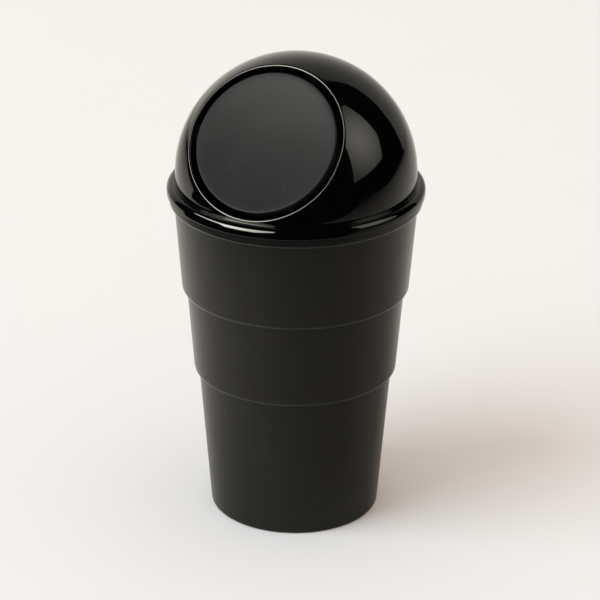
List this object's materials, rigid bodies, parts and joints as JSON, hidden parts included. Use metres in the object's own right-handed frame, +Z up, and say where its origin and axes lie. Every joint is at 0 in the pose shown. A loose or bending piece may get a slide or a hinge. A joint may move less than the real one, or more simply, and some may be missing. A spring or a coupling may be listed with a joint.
{
  "type": "car trash bin",
  "caption": "Small stepped waste bin for a car cup holder, with a pull-off glossy domed lid and a round push flap on a spring hinge.",
  "frame": {"origin": "centre of the base, on the surface that the bin stands on", "axes": "+Z up along the cup's axis; the flap in the dome faces -Y; the hinge pin lies along X"},
  "size_m": [0.086, 0.086, 0.1609],
  "materials": {
    "cup_plastic": "satin black moulded plastic",
    "lid_plastic": "polished black moulded plastic",
    "flap_plastic": "satin dark grey moulded plastic",
    "pin_steel": "drawn steel",
    "spring_steel": "spring wire"
  },
  "bodies": {
    "bin": {"bin_cup": "cup_plastic"},
    "lid": {"dome_lid": "lid_plastic", "hinge_pin": "pin_steel", "torsion_spring": "spring_steel"},
    "flap": {"push_flap": "flap_plastic"}
  },
  "joints": [
    {"name": "lid_lift", "type": "slide", "parent": "bin", "child": "lid", "axis": [0, 0, 1], "range_m": [0, 0.06]},
    {"name": "flap_hinge", "type": "hinge", "parent": "lid", "child": "flap", "pos_m": [0, -0.00494, 0.15141], "axis": [1, 0, 0], "range_deg": [0, 70], "stiffness_Nm_per_rad": 0.03, "springref_deg": -45.84, "deforming": ["torsion_spring"]}
  ]
}
